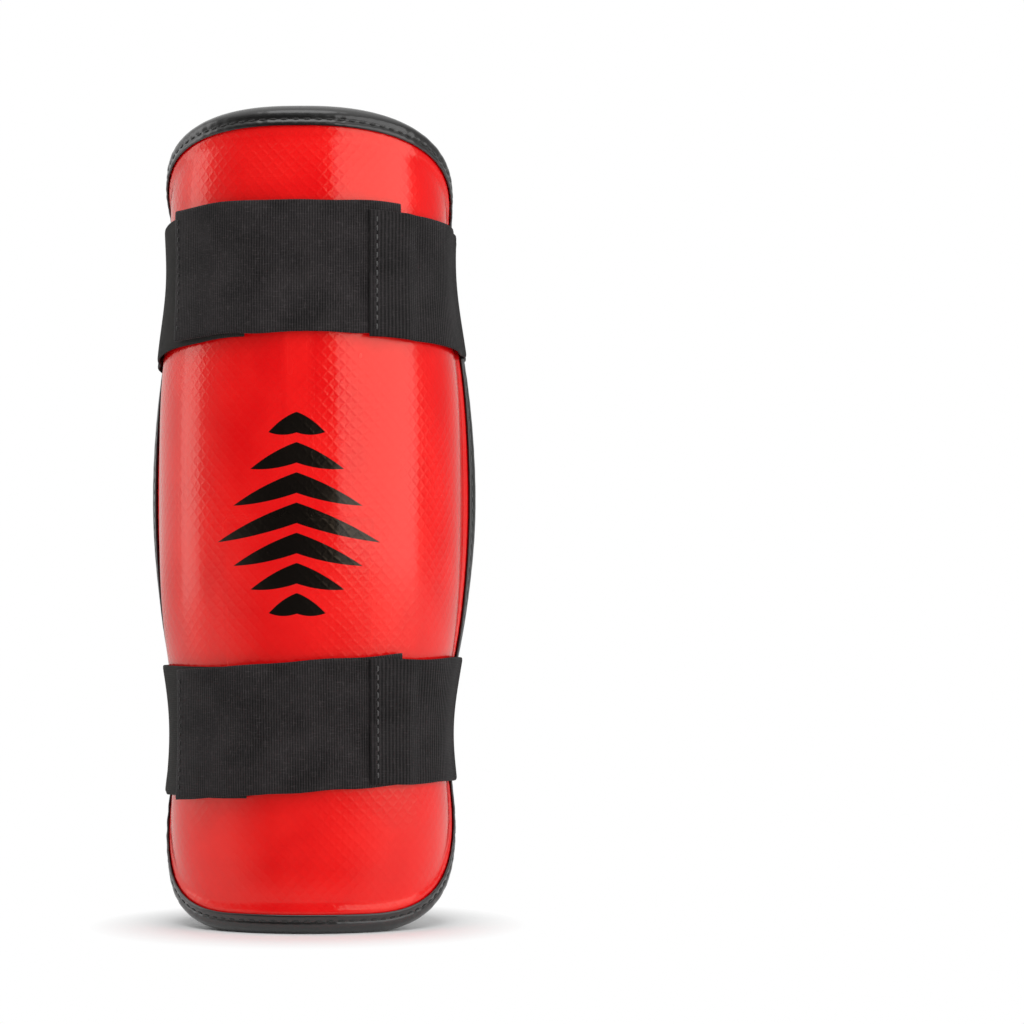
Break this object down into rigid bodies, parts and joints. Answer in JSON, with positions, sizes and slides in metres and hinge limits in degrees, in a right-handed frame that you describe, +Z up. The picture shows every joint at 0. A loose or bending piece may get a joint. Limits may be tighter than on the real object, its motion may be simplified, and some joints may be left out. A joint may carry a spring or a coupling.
{
  "type": "shin guard",
  "caption": "Padded half-tube shin guard with a glossy vinyl cover, bound edge and elastic straps that close over its front with hook and loop tape.",
  "frame": {"origin": "middle of the bottom edge's flat, under the front line", "axes": "+Z up the leg, the front faces -Y, the elastic is sewn on the +X side"},
  "size_m": [0.1282, 0.0952, 0.315],
  "materials": {
    "cover_vinyl": "glossy red embossed vinyl",
    "impact_foam": "dense closed-cell foam",
    "comfort_foam": "soft foam",
    "lining_fabric": "black woven lining",
    "binding_vinyl": "black satin vinyl tape",
    "ribbed_elastic": "black ribbed elastic",
    "loop_tape": "black woven loop tape",
    "hook_tape": "black nylon hook tape",
    "binding_thread": "black sewing thread",
    "lap_thread": "grey sewing thread",
    "label_tape": "dark woven tape, bare"
  },
  "bodies": {
    "guard": {"outer_cover": "cover_vinyl", "impact_foam": "impact_foam", "comfort_foam": "comfort_foam", "inner_lining": "lining_fabric", "edge_binding": "binding_vinyl", "binding_thread": "binding_thread", "upper_elastic_root": "ribbed_elastic", "upper_hook_root": "hook_tape", "lower_elastic_root": "ribbed_elastic", "lower_hook_root": "hook_tape"},
    "label": {"side_label": "label_tape"},
    "upper_strap": {"upper_elastic_strap": "ribbed_elastic", "upper_loop_lap": "loop_tape", "upper_lap_thread": "lap_thread"},
    "upper_tab": {"upper_loop_tab": "loop_tape"},
    "upper_hook": {"upper_hook_strap": "hook_tape"},
    "lower_strap": {"lower_elastic_strap": "ribbed_elastic", "lower_loop_lap": "loop_tape", "lower_lap_thread": "lap_thread"},
    "lower_tab": {"lower_loop_tab": "loop_tape"},
    "lower_hook": {"lower_hook_strap": "hook_tape"}
  },
  "joints": [
    {"name": "upper_tab_peel", "type": "hinge", "parent": "upper_strap", "child": "upper_tab", "pos_m": [0.02767, -0.01609, 0.24978], "axis": [-0.0012, 0.0221, 0.9998], "range_deg": [0, 150]},
    {"name": "upper_strap_swing", "type": "hinge", "parent": "guard", "child": "upper_strap", "pos_m": [0.04968, 0.06888, 0.2423], "axis": [0, 0, 1], "range_deg": [0, 150]},
    {"name": "upper_hook_swing", "type": "hinge", "parent": "guard", "child": "upper_hook", "pos_m": [-0.05028, 0.0689, 0.2385], "axis": [0, 0, -1], "range_deg": [0, 60]},
    {"name": "lower_tab_peel", "type": "hinge", "parent": "lower_strap", "child": "lower_tab", "pos_m": [0.02767, -0.0111, 0.07943], "axis": [0.0028, -0.0935, 0.9956], "range_deg": [0, 150]},
    {"name": "lower_strap_swing", "type": "hinge", "parent": "guard", "child": "lower_strap", "pos_m": [0.0483, 0.06571, 0.07743], "axis": [0, 0, 1], "range_deg": [0, 150]},
    {"name": "lower_hook_swing", "type": "hinge", "parent": "guard", "child": "lower_hook", "pos_m": [-0.04829, 0.06587, 0.07493], "axis": [0, 0, -1], "range_deg": [0, 60]},
    {"name": "label_flap", "type": "hinge", "parent": "guard", "child": "label", "pos_m": [0.06017, 0.057, 0.157], "axis": [0, 0, 1], "range_deg": [-60, 60]}
  ],
  "couplings": [
    {"joint": "upper_strap_swing", "follows": "upper_tab_peel", "ratio": 1},
    {"joint": "upper_hook_swing", "follows": "upper_tab_peel", "ratio": 0.4},
    {"joint": "lower_strap_swing", "follows": "lower_tab_peel", "ratio": 1},
    {"joint": "lower_hook_swing", "follows": "lower_tab_peel", "ratio": 0.4}
  ]
}
